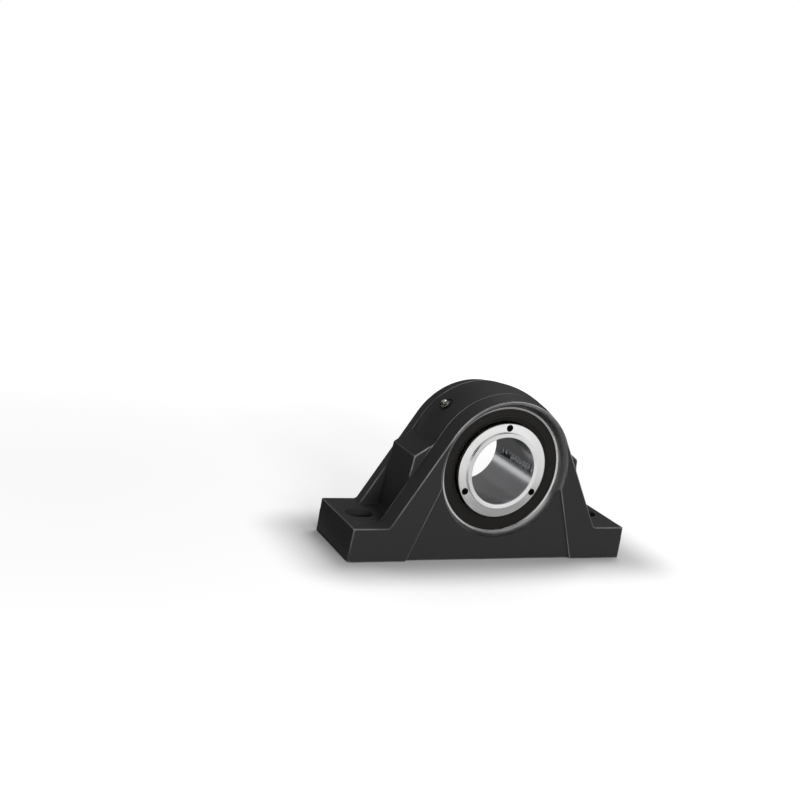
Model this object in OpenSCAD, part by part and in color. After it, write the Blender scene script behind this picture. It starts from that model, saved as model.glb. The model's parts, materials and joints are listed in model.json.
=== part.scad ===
// Two-bolt pillow block: one-piece cast housing with a self-aligning double-row roller bearing,
// which a split stepped sleeve locks on its shaft.
// Millimetres. X runs along the base, the shaft lies along Y, the locking collar is at the front (-Y).
// The origin is the middle of the base, on the surface that the block is bolted to.

/* [Base] */
// Length of the cast base
base_l = 247; // [240:1:270]
// Width of the housing, front to back
base_w = 69; // [68:0.5:76]
// Height of the two feet
foot_h = 27; // [22:0.5:32]
// How far each end leans in at the top of a foot
end_draft = 1.5; // [0:0.5:4]
// Radius of the four upright corners of the base
corner_r = 3; // [1:0.5:6]

/* [Bolt slots] */
// Distance from each end of the base to the middle of its slot
slot_inset = 19.5; // [16:0.5:22]
// Width of a slot
slot_w = 18; // [14:0.5:20]
// Length of a slot from end to end
slot_l = 22; // [21:0.5:26]
// Distance from each end of the base to its dowel dimple
dimple_inset = 10.5; // [7:0.5:15]
// Distance from the middle of the base to a dowel dimple, towards the front
dimple_y = 23.5; // [18:0.5:28]
// Width of a dowel dimple
dimple_d = 3.4; // [2:0.2:5]

/* [Casting] */
// Height of the shaft's axis above the base
centre_h = 72.7; // [71:0.1:76]
// Thickness of the front and rear rib plates
rib_t = 14.5; // [12:0.5:16]
// Iron round the bearing seat, at the outer face of a rib
face_wall = 7.8; // [7.3:0.1:9]
// Iron round the bearing seat, at the edge where a rib meets the dome
edge_wall = 10.7; // [10:0.1:13]
// How much higher the dome stands in its middle than that edge
dome_crown = 1.8; // [0.6:0.1:3]
// How far the ribs stand proud of the dome
rib_step = 0.7; // [0.3:0.1:1.2]
// Slope of the straight edges of a rib
leg_slope = 60.3; // [58:0.1:62]
// Fillet at the foot of each rib and column
root_fillet = 4; // [2:0.5:5]
// Half the distance across the two columns, at their top corners
column_x = 74.1; // [72:0.1:76]
// Height of a column's top corner
column_h = 80.3; // [78:0.1:83]
// Draft of a column's outer face
column_draft = 6.5; // [3:0.5:8]
// Slope of the shoulder that runs from a column up to the dome
shoulder_slope = 34; // [30:1:38]
// Fillet between a shoulder and the dome
shoulder_fillet = 9; // [5:0.5:11]
// Depth of the recess in the lower part of each face
fan_depth = 2; // [0.5:0.1:2.4]
// Half the width of that recess at the bottom of the base
fan_x_low = 74.5; // [70:0.5:78]
// How far below the shaft's axis the recess meets the mouth
fan_drop = 14.2; // [12:0.1:17]

/* [Mouth] */
// Diameter of the bearing seat
seat_d = 100; // [99:0.1:101]
// Depth of the mouth, from the face of the housing to the bearing seat
mouth_depth = 8; // [7:0.1:8.3]
// Width of the flat rim round the seat
rim_w = 1.5; // [1:0.1:2]
// Width of the first, shallow bevel
bevel_w = 1.5; // [1:0.1:2]
// Depth of the first, shallow bevel
bevel_depth = 1.8; // [1:0.1:2.2]
// Width of the steep bevel outside it
wall_w = 1; // [0.5:0.1:1.2]
// How much the mouth widens from there to the face of the housing
mouth_flare = 1.8; // [1:0.1:2.5]

/* [Bearing] */
// Width of the outer ring
ring_w = 25; // [24:0.5:26]
// Share of the room between seat and sleeve that the outer ring takes at its thinnest
outer_share = 0.237; // [0.22:0.001:0.25]
// Share of that room that a roller takes
roller_share = 0.484; // [0.46:0.002:0.494]
// Length of a roller
roller_l = 10.2; // [9.4:0.1:10.4]
// Rollers in each row
roller_n = 19; // [12:1:19]
// Angle between the line of contact and the bearing's middle plane
contact_a = 10; // [9:0.5:11]
// Thickness of the sheet of the cages
cage_t = 1.8; // [1.4:0.1:2]
// Width of the groove and of the bores that bring grease to the rollers
grease_w = 6; // [4:0.5:8]

/* [Locking sleeve and collar] */
// Shaft diameter
shaft_d = 55; // [54:0.1:55.4]
// Outer diameter of the sleeve over its steps
sleeve_d = 62; // [61.6:0.1:62.2]
// How far the collar's lip, which covers the sleeve's front end, stands out of the collar's face
lip_rise = 1.9; // [1.5:0.1:2.5]
// How far the sleeve's rear end stands out past the bearing seat
sleeve_tail = 6.5; // [5.5:0.1:7.5]
// Height of the steps on the sleeve and in the inner ring
step_h = 0.6; // [0.4:0.05:0.7]
// Pitch of the steps
step_pitch = 4.3; // [3:0.1:6]
// Width of the relief groove in the inner ring, behind the last step
relief_w = 5.5; // [3:0.5:6]
// Width of the slit along the sleeve
slit_w = 6.5; // [2:0.5:8]
// Place of the slit round the shaft, counted from +X
slit_a = 2; // [-15:1:15]
// Length of the sleeve's rear end that the slit leaves whole
slit_stop = 10; // [6:0.5:12]
// Thickness of the collar and of the inner ring's rear end, from the sleeve outwards
collar_wall = 7.45; // [7.2:0.05:7.7]
// How far the collar's face stands out past the bearing seat
collar_rise = 1.8; // [1.5:0.1:2.3]
// Thickness of the collar
collar_t = 8.3; // [7.5:0.1:8.6]
// Number of grub screws
grub_n = 3; // [3:1:6]
// Diameter of the grub screws
grub_d = 5; // [4:0.5:5.5]
// Distance of the grub screws from the sleeve
grub_off = 3.8; // [3.5:0.1:4]

/* [Seals and snap rings] */
// Radial room at the seal lips, which the alignment needs
lip_gap = 0.9; // [0.85:0.05:1.2]
// Room between each seal and its snap ring
seal_room = 1.95; // [1:0.05:2.5]
// Thickness of a snap ring
snap_t = 2; // [1.5:0.1:2.2]
// Depth of a snap ring in the housing
snap_bite = 2; // [1:0.1:2.5]
// Radial width of a snap ring
snap_w = 6; // [5:0.1:6.4]

/* [Grease nipple] */
// Lean of the nipple to the left of upright
nipple_tilt = 45; // [40:1:50]
// Diameter of the spot face that the nipple seats on
spot_d = 13; // [11:0.5:15]
// Diameter of the nipple's thread
nipple_thread = 6; // [5:0.5:6]
// Width across the flats of its hexagon
nipple_af = 7; // [6.5:0.5:9]
// Height of the hexagon
nipple_hex_h = 2; // [1.5:0.1:4]
// Widest diameter of its head
nipple_head_d = 5; // [4.8:0.1:7]
// Diameter of the check ball
ball_d = 2.4; // [2:0.1:2.4]

/* [Fits] */
// Radial room of pieces that sit in or on each other
seat_gap = 0.03; // [0.02:0.01:0.06]
// Room between a roller and each raceway
roll_gap = 0.12; // [0.08:0.01:0.16]
// Room round a roller in its cage pocket
pocket_gap = 0.3; // [0.2:0.05:0.35]
// How far a turned fillet or plane runs inside the surface that it meets, so that they cross cleanly
graze = 0.08; // [0.04:0.01:0.12]

/* [Hidden] */
$fn = 96;
// Points in each quarter of a fillet
arc_steps = 6;
// How far a cut runs past the surface that it opens
over = 1;
// How deep ribs and columns are rooted in the base
root_depth = 3;
// Half the room between the front and rear rib plates
web_y = base_w / 2 - rib_t;
face_y = base_w / 2;
seat_r = seat_d / 2;
seat_y = face_y - mouth_depth;
slot_span = base_l - 2 * slot_inset;
dimple_x = base_l / 2 - dimple_inset;
face_r = seat_r + face_wall;
edge_r = seat_r + edge_wall;
dome_low = edge_r - rib_step;
dome_top = edge_r + dome_crown;
dome_rise = dome_top - dome_low;
crown_r = (web_y * web_y + dome_rise * dome_rise) / (2 * dome_rise);
// The rib's sloping edge leaves the round top at this angle above the shaft's axis
leave_a = 90 - leg_slope;
rib_flare = (edge_r - face_r) / rib_t;
leg_top = centre_h + face_r * sin(leave_a);
leg_x_face = (face_r + (centre_h - foot_h) * sin(leave_a)) / cos(leave_a);
// The flare turns a leg's root line away from Y and makes its edge a little steeper across that line
leg_turn = atan2(rib_flare, cos(leave_a));
leg_steep = atan2(norm([cos(leave_a), rib_flare]), sin(leave_a));
column_x_foot = column_x + (column_h - foot_h) * tan(column_draft);
// Mouth, outwards from the seat
rim_lean = 0.5;
rim_r = seat_r + rim_w;
bevel_r = rim_r + bevel_w;
bevel_y = seat_y + rim_lean + bevel_depth;
wall_r = bevel_r + wall_w;
wall_y = face_y - fan_depth;
mouth_r = wall_r + mouth_flare;
mouth_run = mouth_flare / fan_depth;
// The recess in a face meets the mouth's edge here, a little inside it
fan_h = centre_h - fan_drop;
fan_x_high = sqrt(mouth_r * mouth_r - fan_drop * fan_drop) - graze;
// Spot face, thread and duct of the grease nipple, as distances from the shaft's axis
spot_depth = 1.1;
spot_z = dome_top - spot_depth;
thread_l = 7;
thread_bottom = spot_z - thread_l;
duct_d = 3.5;
// Rollers: their middles lie on a cone, square to the line of contact
room = seat_r - sleeve_d / 2;
race_r = seat_r - outer_share * room;
roller_r = roller_share * room / 2;
barrel_r = race_r - 1;
groove_r = race_r - 0.2;
pitch = race_r - roll_gap - roller_r;
groove_mid = pitch - roller_r - roll_gap + groove_r;
roller_step = 360 / roller_n;
roller_chamfer = 0.4;
roller_end_r = roller_r - pow(roller_l / 2, 2) / (2 * barrel_r);
// Cage, measured from a roller's middle along its axis and square to it
cage_low = -0.1;
pocket_l = roller_l / 2 + pocket_gap;
cage_in = pocket_l + 1.4;
cage_out = pocket_l + 1.9;
// Room between the cages and the rings that they turn in
cage_gap = 0.7;
// Guide ring between the rows
guide_gap = 0.25;
land_y = 1.2;
land_r = raceway(land_y) - 0.05;
guide_r_in = land_r + 0.2;
guide_r_out = contact_point(-cage_in, cage_low)[0] - cage_gap;
// Inner ring
end_room = 0.15;
flange_y = contact_point(roller_l / 2, 0)[1] + end_room;
flange_r = contact_point(cage_out, cage_low)[0] - cage_gap - 0.5;
flange_t = 3;
rear_land_y = flange_y + flange_t;
collar_face = seat_y + collar_rise;
lip_front = collar_face + lip_rise;
sleeve_front = collar_face - 2 * seat_gap;
sleeve_rear = seat_y + sleeve_tail;
collar_stand = 1.5;
inner_front = collar_face - collar_t - collar_stand;
sleeve_stand = 0.3;
inner_rear = sleeve_rear - sleeve_stand;
edge = 0.6;
// Sleeve
bore_r = shaft_d / 2;
sleeve_r = sleeve_d / 2;
dish = 0.6;
step_start = -inner_front + over;
step_count = floor((race_r * sin(contact_a) + relief_w - step_start) / step_pitch);
step_end = step_start + step_count * step_pitch;
relief_y = step_end + step_h;
relief_depth = 2.5;
collar_lip = 2.8;
groove_front = collar_face - collar_lip;
groove_w = 2.6;
collar_r = sleeve_r + collar_wall;
grub_pcr = sleeve_r + grub_off;
grub_sunk = 2;
grub_socket = grub_d / 2;
// Seals and snap rings
seal_sunk = 0.5;
seal_face = seat_y - seal_sunk;
lip_r = collar_r + lip_gap;
snap_room = 0.05;
seal_end = ring_w / 2 + snap_t + snap_room + seal_room;
snap_r = seat_r + snap_bite - 3 * snap_room;
snap_y = ring_w / 2 + snap_room;
snap_open = 9;
snap_lug_r = 2.8;
// Grease nipple
nipple_neck_r = 1.9;
nipple_neck_l = 0.6;
nipple_neck_top = spot_z + nipple_hex_h + nipple_neck_l;
nipple_land = nipple_neck_top + nipple_head_d / 2 - nipple_neck_r;
nipple_band = 0.8;
nipple_cone = 1.5;
nipple_top = nipple_land + nipple_band + nipple_cone;
nipple_tip_r = 1.6;
ball_r = ball_d / 2;
ball_room = ball_r + 0.15;
mouth_hole_r = ball_r - 0.4;
// The ball closes a cone whose tip would lie this far above the nipple's end
cone_rise = 0.3;
ball_z = nipple_top + cone_rise - (ball_r + seat_gap) * sqrt(2);
// Ledge at the nipple's lower end that the spring stands on
ledge = 0.8;
spring_wire_r = 0.2;
spring_r = ball_r - 0.3;
spring_turns = 8;
spring_sides = 6;
spring_steps = 12;
spring_foot = thread_bottom + ledge + spring_wire_r;
spring_top = ball_z - ball_r - 2 * spring_wire_r;

iron = "#2b2c2e";
rubber = "#171716";
steel = "#b9bcc0";
bright = "#d8dadd";
dark = "#5d5e61";

FIXED = ["housing", "outer_ring", "front_snap_ring", "rear_snap_ring", "front_seal", "rear_seal",
    "nipple_body", "nipple_spring", "nipple_ball"];
TURNING = ["guide_ring", "inner_ring", "stepped_sleeve", "mounting_collar", "grub_screws",
    "front_cage", "rear_cage"];
ROLLERS = [for (row = ["front", "rear"]) for (i = [1:roller_n]) str(row, "_roller_", i)];

// Points on an arc round c, from angle a0 to angle a1
function arc(c, r, a0, a1, n) = [for (i = [0:n])
    let (a = a0 + (a1 - a0) * i / n)
    c + r * [cos(a), sin(a)]];

// Fillet between a level surface at height z and an edge that rises from [x, z] and leans back by slope
function foot_fillet(x, z, slope, r) = arc([x + r * tan(slope / 2), z + r], r, 270, 270 - slope, arc_steps);

// A place in the rear row, in distance from the shaft's axis and along it:
// a along the roller's axis, c along the line of contact
function contact_point(a, c) = [
    (pitch + c) * cos(contact_a) - a * sin(contact_a),
    (pitch + c) * sin(contact_a) + a * cos(contact_a)
];

// Radius of the rear raceway of the inner ring at y
function raceway(y) = groove_mid * cos(contact_a)
    - sqrt(groove_r * groove_r - pow(y - groove_mid * sin(contact_a), 2));

// Sawtooth steps, as [radius, y], growing towards the rear so that a pull to the front wedges them
function steps(r) = [for (i = [0:step_count - 1]) for (end = [0, 1])
    [r - step_h * (1 - end), step_start + (i + end) * step_pitch]];

// Puts a shape drawn round +Z on the shaft's axis, with +Z turned to the rear
module on_shaft() {
    translate([0, 0, centre_h])
        rotate([-90, 0, 0])
            children();
}

// Revolves a profile drawn as [radius, y] round the shaft's axis
module turned() {
    on_shaft()
        rotate_extrude($fn = 180)
            children();
}

// Stands a profile of X and Z up, from y0 to y1
module upright(y0, y1) {
    translate([0, y1, 0])
        rotate([90, 0, 0])
            linear_extrude(y1 - y0)
                children();
}

// Puts a shape drawn round +Z on the grease nipple's axis, with z counted from the shaft's axis
module on_nipple() {
    translate([0, 0, centre_h])
        rotate([0, -nipple_tilt, 0])
            children();
}

module base_block() {
    x = base_l / 2 - corner_r;
    y = base_w / 2 - corner_r;
    intersection() {
        upright(-base_w / 2, base_w / 2)
            polygon([
                [-base_l / 2, 0],
                [base_l / 2, 0],
                [base_l / 2 - end_draft, foot_h],
                [end_draft - base_l / 2, foot_h]
            ]);
        linear_extrude(foot_h)
            polygon(concat(
                arc([x, y], corner_r, 0, 90, arc_steps),
                arc([-x, y], corner_r, 90, 180, arc_steps),
                arc([-x, -y], corner_r, 180, 270, arc_steps),
                arc([x, -y], corner_r, 270, 360, arc_steps)
            ));
    }
}

// Crowned dome, with the flared round tops of the two ribs at its ends
module dome() {
    turned() {
        polygon([
            [0, -face_y],
            [face_r, -face_y],
            [edge_r, -web_y],
            [dome_low, -web_y],
            [dome_low, web_y],
            [edge_r, web_y],
            [face_r, face_y],
            [0, face_y]
        ]);
        intersection() {
            translate([0, -web_y])
                square([dome_top + over, 2 * web_y]);
            translate([dome_top - crown_r, 0])
                circle(crown_r, $fn = 360);
        }
    }
}

// Right column: a drafted outer face, a sloped shoulder, and a fillet that runs into the dome
module column() {
    lean = [sin(shoulder_slope), cos(shoulder_slope)];
    down = [cos(shoulder_slope), -sin(shoulder_slope)];
    hub = [0, centre_h];
    run_in = dome_low - 4 * graze;
    rise = ([column_x, column_h] - hub) * lean + shoulder_fillet;
    reach = run_in + shoulder_fillet;
    middle = hub + rise * lean + sqrt(reach * reach - rise * rise) * down;
    to_hub = atan2(hub[1] - middle[1], hub[0] - middle[0]) + 360;
    upright(-web_y, web_y)
        polygon(concat(
            [[0, foot_h - root_depth]],
            [[column_x_foot + root_fillet * tan((90 - column_draft) / 2), foot_h - root_depth]],
            foot_fillet(column_x_foot, foot_h - graze, 90 - column_draft, root_fillet),
            [[column_x, column_h]],
            arc(middle, shoulder_fillet, 270 - shoulder_slope, to_hub, arc_steps),
            [hub]
        ));
}

// Right half of the front rib, below its round top. Its edge is a flat plane that flares towards the
// dome and runs tangent to the cone of the round top; it is drawn square to the plane's root line.
module leg() {
    intersection() {
        translate([leg_x_face, -face_y, 0])
            rotate([0, 0, -leg_turn])
                upright(-2 * rib_t, 2 * rib_t)
                    polygon(concat(
                        [[-leg_x_face - rib_t, foot_h - root_depth]],
                        [[root_fillet * tan(leg_steep / 2), foot_h - root_depth]],
                        foot_fillet(-graze, foot_h - graze, leg_steep, root_fillet),
                        [[-graze - (leg_top - foot_h) / tan(leg_steep), leg_top]],
                        [[-leg_x_face - rib_t, leg_top]]
                    ));
        translate([-over, -face_y, 0])
            cube([base_l / 2, rib_t, leg_top + over]);
    }
}

// Stepped mouth in the rear face, with the rear half of the bearing seat and its snap ring groove
module rear_mouth() {
    turned()
        polygon([
            [0, -over],
            [seat_r, -over],
            [seat_r, ring_w / 2],
            [seat_r + snap_bite, ring_w / 2],
            [seat_r + snap_bite, ring_w / 2 + snap_t + 2 * snap_room],
            [seat_r, ring_w / 2 + snap_t + 2 * snap_room],
            [seat_r, seat_y],
            [rim_r, seat_y + rim_lean],
            [bevel_r, bevel_y],
            [wall_r, wall_y],
            [mouth_r + over * mouth_run, face_y + over],
            [0, face_y + over]
        ]);
}

// Shallow recess below the mouth in the rear face, bounded by two slanting creases
module rear_fan() {
    crease = (fan_x_low - fan_x_high) / fan_h;
    upright(wall_y, face_y + over)
        polygon([
            [-fan_x_low - over * crease, -over],
            [fan_x_low + over * crease, -over],
            [fan_x_high, fan_h],
            [0, centre_h],
            [-fan_x_high, fan_h]
        ]);
}

module bolt_slot() {
    stretch = slot_l - slot_w;
    translate([-stretch / 2, -slot_w / 2, -over])
        cube([stretch, slot_w, foot_h + 2 * over]);
    for (end = [-1, 1])
        translate([end * stretch / 2, 0, -over])
            cylinder(h = foot_h + 2 * over, d = slot_w);
}

// Cone-shaped mark with a flat tip
module dowel_dimple() {
    tip = 0.2;
    depth = dimple_d / 2 - tip;
    translate([0, 0, foot_h - depth])
        cylinder(h = depth + over, r1 = tip, r2 = tip + depth + over, $fn = 32);
}

// Spot face, tapped hole and duct of the grease nipple
module nipple_seat() {
    on_nipple() {
        translate([0, 0, spot_z])
            cylinder(h = spot_d, d = spot_d);
        translate([0, 0, thread_bottom])
            cylinder(h = spot_d, d = nipple_thread);
        translate([0, 0, seat_r - over])
            cylinder(h = spot_d, d = duct_d);
    }
}

// The iron casting, one piece
module housing() {
    color(iron)
        difference() {
            union() {
                base_block();
                dome();
                for (side = [0, 1])
                    mirror([side, 0, 0])
                        column();
                for (side = [0, 1])
                    for (face = [0, 1])
                        mirror([side, 0, 0])
                            mirror([0, face, 0])
                                leg();
            }
            for (face = [0, 1])
                mirror([0, face, 0]) {
                    rear_mouth();
                    rear_fan();
                }
            for (end = [-1, 1]) {
                translate([end * slot_span / 2, 0, 0])
                    bolt_slot();
                translate([end * dimple_x, end * dimple_y, 0])
                    dowel_dimple();
            }
            nipple_seat();
        }
}

// Outer ring: spherical raceway, and a groove with three holes that lets the grease in
module outer_ring() {
    r = seat_r - seat_gap;
    half = ring_w / 2;
    chamfer = 1;
    color(steel)
        difference() {
            turned()
                polygon([
                    [race_r - 3 * chamfer, -half],
                    [r - chamfer, -half],
                    [r, chamfer - half],
                    [r, -grease_w / 2],
                    [r - grease_w / 4, -grease_w / 4],
                    [r - grease_w / 4, grease_w / 4],
                    [r, grease_w / 2],
                    [r, half - chamfer],
                    [r - chamfer, half],
                    [race_r - 3 * chamfer, half]
                ]);
            translate([0, 0, centre_h])
                sphere(race_r, $fn = 180);
            for (i = [0:2])
                on_nipple()
                    rotate([0, 120 * i, 0])
                        cylinder(h = seat_d, d = grease_w / 2);
        }
}

module front_snap_ring() {
    mirror([0, 1, 0])
        rear_snap_ring();
}

// Snap ring: open at the bottom, with an eye at each end for the pliers
module rear_snap_ring() {
    lug = asin((snap_open / 2 + snap_lug_r) / (snap_r - snap_lug_r - snap_bite));
    color(steel)
        on_shaft()
            translate([0, 0, snap_y])
                difference() {
                    union() {
                        difference() {
                            cylinder(h = snap_t, r = snap_r, $fn = 180);
                            translate([0, 0, -over])
                                cylinder(h = snap_t + 2 * over, r = snap_r - snap_w, $fn = 180);
                            translate([-snap_open / 2, 0, -over])
                                cube([snap_open, seat_d, snap_t + 2 * over]);
                        }
                        for (end = [-1, 1])
                            rotate([0, 0, 90 + end * lug])
                                translate([snap_r - snap_bite - snap_lug_r, 0, 0])
                                    cylinder(h = snap_t, r = snap_lug_r);
                    }
                    for (end = [-1, 1])
                        rotate([0, 0, 90 + end * lug])
                            translate([snap_r - snap_bite - snap_lug_r, 0, -over])
                                cylinder(h = snap_t + 2 * over, r = snap_lug_r / 2);
                }
}

module front_seal() {
    mirror([0, 1, 0])
        rear_seal();
}

// Seal: a band pressed in the seat, a flat face and a lip that reaches in to the turning part
module rear_seal() {
    r = seat_r - seat_gap;
    band = (r - lip_r) / 4;
    web = 2.2;
    lip_t = 1.4;
    step_r = lip_r + 1.4 * band;
    step = 0.8;
    color(rubber)
        turned()
            polygon([
                [r, seal_end],
                [r, seal_face - step / 2],
                [r - step / 2, seal_face],
                [step_r, seal_face],
                [step_r - step, seal_face - step],
                [lip_r, seal_face - web],
                [lip_r, seal_face - web - lip_t],
                [step_r, seal_face - web],
                [r - band, seal_face - web],
                [r - band, seal_end]
            ]);
}

// Inner ring: two raceways, a land for the guide ring, the rear seal's land, and a bore with steps
// and a relief groove
module inner_ring() {
    bore = sleeve_r + seat_gap;
    color(steel)
        turned()
            difference() {
                polygon(concat(
                    [[bore, inner_rear]],
                    [[collar_r - edge, inner_rear]],
                    [[collar_r, inner_rear - edge]],
                    [[collar_r, rear_land_y + edge]],
                    [[collar_r - edge, rear_land_y]],
                    [[flange_r, rear_land_y]],
                    [[flange_r, land_y]],
                    [[land_r, land_y]],
                    [[land_r, -land_y]],
                    [[flange_r, -land_y]],
                    [[flange_r, -inner_front + edge]],
                    [[flange_r - edge, -inner_front]],
                    [[bore, -inner_front]],
                    [[bore, step_start]],
                    steps(bore),
                    [[bore, step_end]],
                    [[bore, relief_y]],
                    [[bore + relief_depth, relief_y]],
                    [[bore + relief_depth, relief_y + relief_w]],
                    [[bore, relief_y + relief_w]]
                ));
                for (row = [0, 1])
                    mirror([0, row])
                        intersection() {
                            translate([groove_mid * cos(contact_a), groove_mid * sin(contact_a)])
                                circle(groove_r, $fn = 720);
                            translate([bore_r, land_y])
                                square([race_r, flange_y - land_y]);
                        }
            }
}

// Guide ring: fills the wedge between the inner ends of the two rows
module guide_ring() {
    function half(r) = contact_point(-roller_l / 2, 0)[1] - guide_gap
        + (r - contact_point(-roller_l / 2, 0)[0]) * tan(contact_a);
    color(dark)
        turned()
            polygon([
                [guide_r_in, -half(guide_r_in)],
                [guide_r_out, -half(guide_r_out)],
                [guide_r_out, half(guide_r_out)],
                [guide_r_in, half(guide_r_in)]
            ]);
}

// Leads to the middle of one roller's place, with +Z along the roller's axis. Row 1 is the rear one.
module roller_place(row, i) {
    middle = contact_point(0, 0);
    shift = row > 0 ? 0 : roller_step / 2;
    on_shaft()
        rotate([0, 0, i * roller_step + shift])
            translate([middle[0], 0, row * middle[1]])
                rotate([0, -row * contact_a, 0])
                    children();
}

// Barrel-shaped roller with chamfered ends
module roller(row, i) {
    half = roller_l / 2;
    color(bright)
        roller_place(row, i)
            rotate_extrude($fn = 48)
                intersection() {
                    translate([roller_r - barrel_r, 0])
                        circle(barrel_r, $fn = 720);
                    polygon([
                        [0, -half],
                        [roller_end_r - roller_chamfer, -half],
                        [roller_end_r + roller_chamfer, 2 * roller_chamfer - half],
                        [roller_end_r + roller_chamfer, half - 2 * roller_chamfer],
                        [roller_end_r - roller_chamfer, half],
                        [0, half]
                    ]);
                }
}

// Window cage: a coned sheet ring with a pocket round each roller
module cage(row) {
    high = cage_low + cage_t;
    color(dark)
        difference() {
            mirror([0, (1 - row) / 2, 0])
                turned()
                    polygon([
                        contact_point(-cage_in, cage_low),
                        contact_point(cage_out, cage_low),
                        contact_point(cage_out, high),
                        contact_point(-cage_in, high)
                    ]);
            for (i = [1:roller_n])
                roller_place(row, i)
                    cylinder(h = 2 * pocket_l, r = roller_r + pocket_gap, center = true, $fn = 48);
        }
}

module front_cage() {
    cage(-1);
}

module rear_cage() {
    cage(1);
}

// Sleeve: split from its front end, its outer steps wedge in the inner ring, the collar hooks over it
module stepped_sleeve() {
    neck_r = sleeve_r - step_h;
    color(bright)
        difference() {
            turned()
                polygon(concat(
                    [[bore_r, sleeve_rear - edge]],
                    [[bore_r, -sleeve_front]],
                    [[sleeve_r, -sleeve_front]],
                    [[sleeve_r, -groove_front]],
                    [[neck_r, -groove_front]],
                    [[neck_r, groove_w - groove_front]],
                    [[sleeve_r, groove_w - groove_front]],
                    [[sleeve_r, step_start]],
                    steps(sleeve_r),
                    [[sleeve_r - step_h, step_end]],
                    [[sleeve_r - step_h, sleeve_rear - edge]],
                    [[sleeve_r - step_h - edge, sleeve_rear]],
                    [[bore_r + edge, sleeve_rear]]
                ));
            on_shaft()
                rotate([0, 0, -slit_a])
                    translate([0, -slit_w / 2, -2 * face_y])
                        cube([seat_r, slit_w, 2 * face_y + sleeve_rear - slit_stop]);
        }
}

// Places things round the shaft at the grub screws' places; the first one is on top
module at_grubs() {
    on_shaft()
        for (i = [0:grub_n - 1])
            rotate([0, 0, -90 + 360 * i / grub_n])
                translate([grub_pcr, 0, 0])
                    children();
}

module mounting_collar() {
    inside = sleeve_r + seat_gap;
    back = collar_face - collar_t;
    bead_r = sleeve_r - step_h + 2 * seat_gap;
    color(bright)
        difference() {
            turned()
                polygon([
                    [bore_r + seat_gap, -collar_face],
                    [bore_r + seat_gap, dish - lip_front],
                    [sleeve_r, -lip_front],
                    [sleeve_r, -collar_face],
                    [collar_r - edge, -collar_face],
                    [collar_r, edge - collar_face],
                    [collar_r, -back - edge],
                    [collar_r - edge, -back],
                    [inside, -back],
                    [inside, groove_w - groove_front - seat_gap],
                    [bead_r, groove_w - groove_front - seat_gap],
                    [bead_r, seat_gap - groove_front],
                    [inside, seat_gap - groove_front],
                    [inside, -collar_face]
                ]);
            at_grubs()
                translate([0, 0, -collar_face - over])
                    cylinder(h = collar_t + 2 * over, d = grub_d);
        }
}

// Grub screws: sunk in the collar, with a hexagon socket, their tips on the inner ring
module grub_screws() {
    r = grub_d / 2 - seat_gap;
    head = -collar_face + grub_sunk;
    tip = -inner_front - seat_gap;
    color(steel)
        at_grubs()
            difference() {
                union() {
                    translate([0, 0, head])
                        cylinder(h = tip - head - edge, r = r);
                    translate([0, 0, tip - edge])
                        cylinder(h = edge, r1 = r, r2 = r - edge);
                }
                translate([0, 0, head - over])
                    cylinder(h = grub_socket + over, d = grub_socket / cos(30), $fn = 6);
            }
}

// Grease nipple with a coned head; the ball and its spring lie in its bore
module nipple_body() {
    color(steel)
        on_nipple()
            difference() {
                union() {
                    translate([0, 0, thread_bottom])
                        cylinder(h = thread_l, d = nipple_thread - 2 * seat_gap);
                    translate([0, 0, spot_z])
                        cylinder(h = nipple_hex_h, d = nipple_af / cos(30), $fn = 6);
                    rotate_extrude()
                        polygon([
                            [0, spot_z],
                            [nipple_neck_r, spot_z],
                            [nipple_neck_r, nipple_neck_top],
                            [nipple_head_d / 2, nipple_land],
                            [nipple_head_d / 2, nipple_land + nipple_band],
                            [nipple_tip_r, nipple_top],
                            [0, nipple_top]
                        ]);
                }
                rotate_extrude()
                    polygon([
                        [0, thread_bottom - over],
                        [mouth_hole_r, thread_bottom - over],
                        [mouth_hole_r, thread_bottom + ledge],
                        [ball_room, thread_bottom + ledge],
                        [ball_room, nipple_top + cone_rise - ball_room],
                        [mouth_hole_r, nipple_top + cone_rise - mouth_hole_r],
                        [mouth_hole_r, nipple_top + over],
                        [0, nipple_top + over]
                    ]);
            }
}

module nipple_ball() {
    color(bright)
        on_nipple()
            translate([0, 0, ball_z])
                sphere(ball_r, $fn = 48);
}

// Coil spring under the ball, a wire swept along a helix
module nipple_spring() {
    n = spring_turns * spring_steps;
    points = [for (i = [0:n]) for (j = [0:spring_sides - 1])
        let (a = 360 * i / spring_steps)
        let (b = 360 * j / spring_sides)
        let (r = spring_r + spring_wire_r * cos(b))
        [r * cos(a), r * sin(a), spring_foot + (spring_top - spring_foot) * i / n + spring_wire_r * sin(b)]];
    start = [[for (j = [0:spring_sides - 1]) j]];
    end = [[for (j = [spring_sides - 1:-1:0]) n * spring_sides + j]];
    sides = [for (i = [0:n - 1]) for (j = [0:spring_sides - 1]) for (half = [0, 1])
        let (k = (j + 1) % spring_sides)
        let (p = i * spring_sides)
        let (q = p + spring_sides)
        half == 0 ? [p + j, q + j, q + k] : [p + j, q + k, p + k]];
    color(steel)
        on_nipple()
            polyhedron(points, concat(start, sides, end));
}

housing();
outer_ring();
front_snap_ring();
rear_snap_ring();
front_seal();
rear_seal();
nipple_body();
nipple_spring();
nipple_ball();
guide_ring();
inner_ring();
stepped_sleeve();
mounting_collar();
grub_screws();
front_cage();
rear_cage();
for (i = [1:roller_n])
    roller(-1, i);
for (i = [1:roller_n])
    roller(1, i);
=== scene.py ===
import json
import math

import bmesh
import bpy
import numpy as np
from mathutils import Euler, Matrix, Vector


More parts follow.
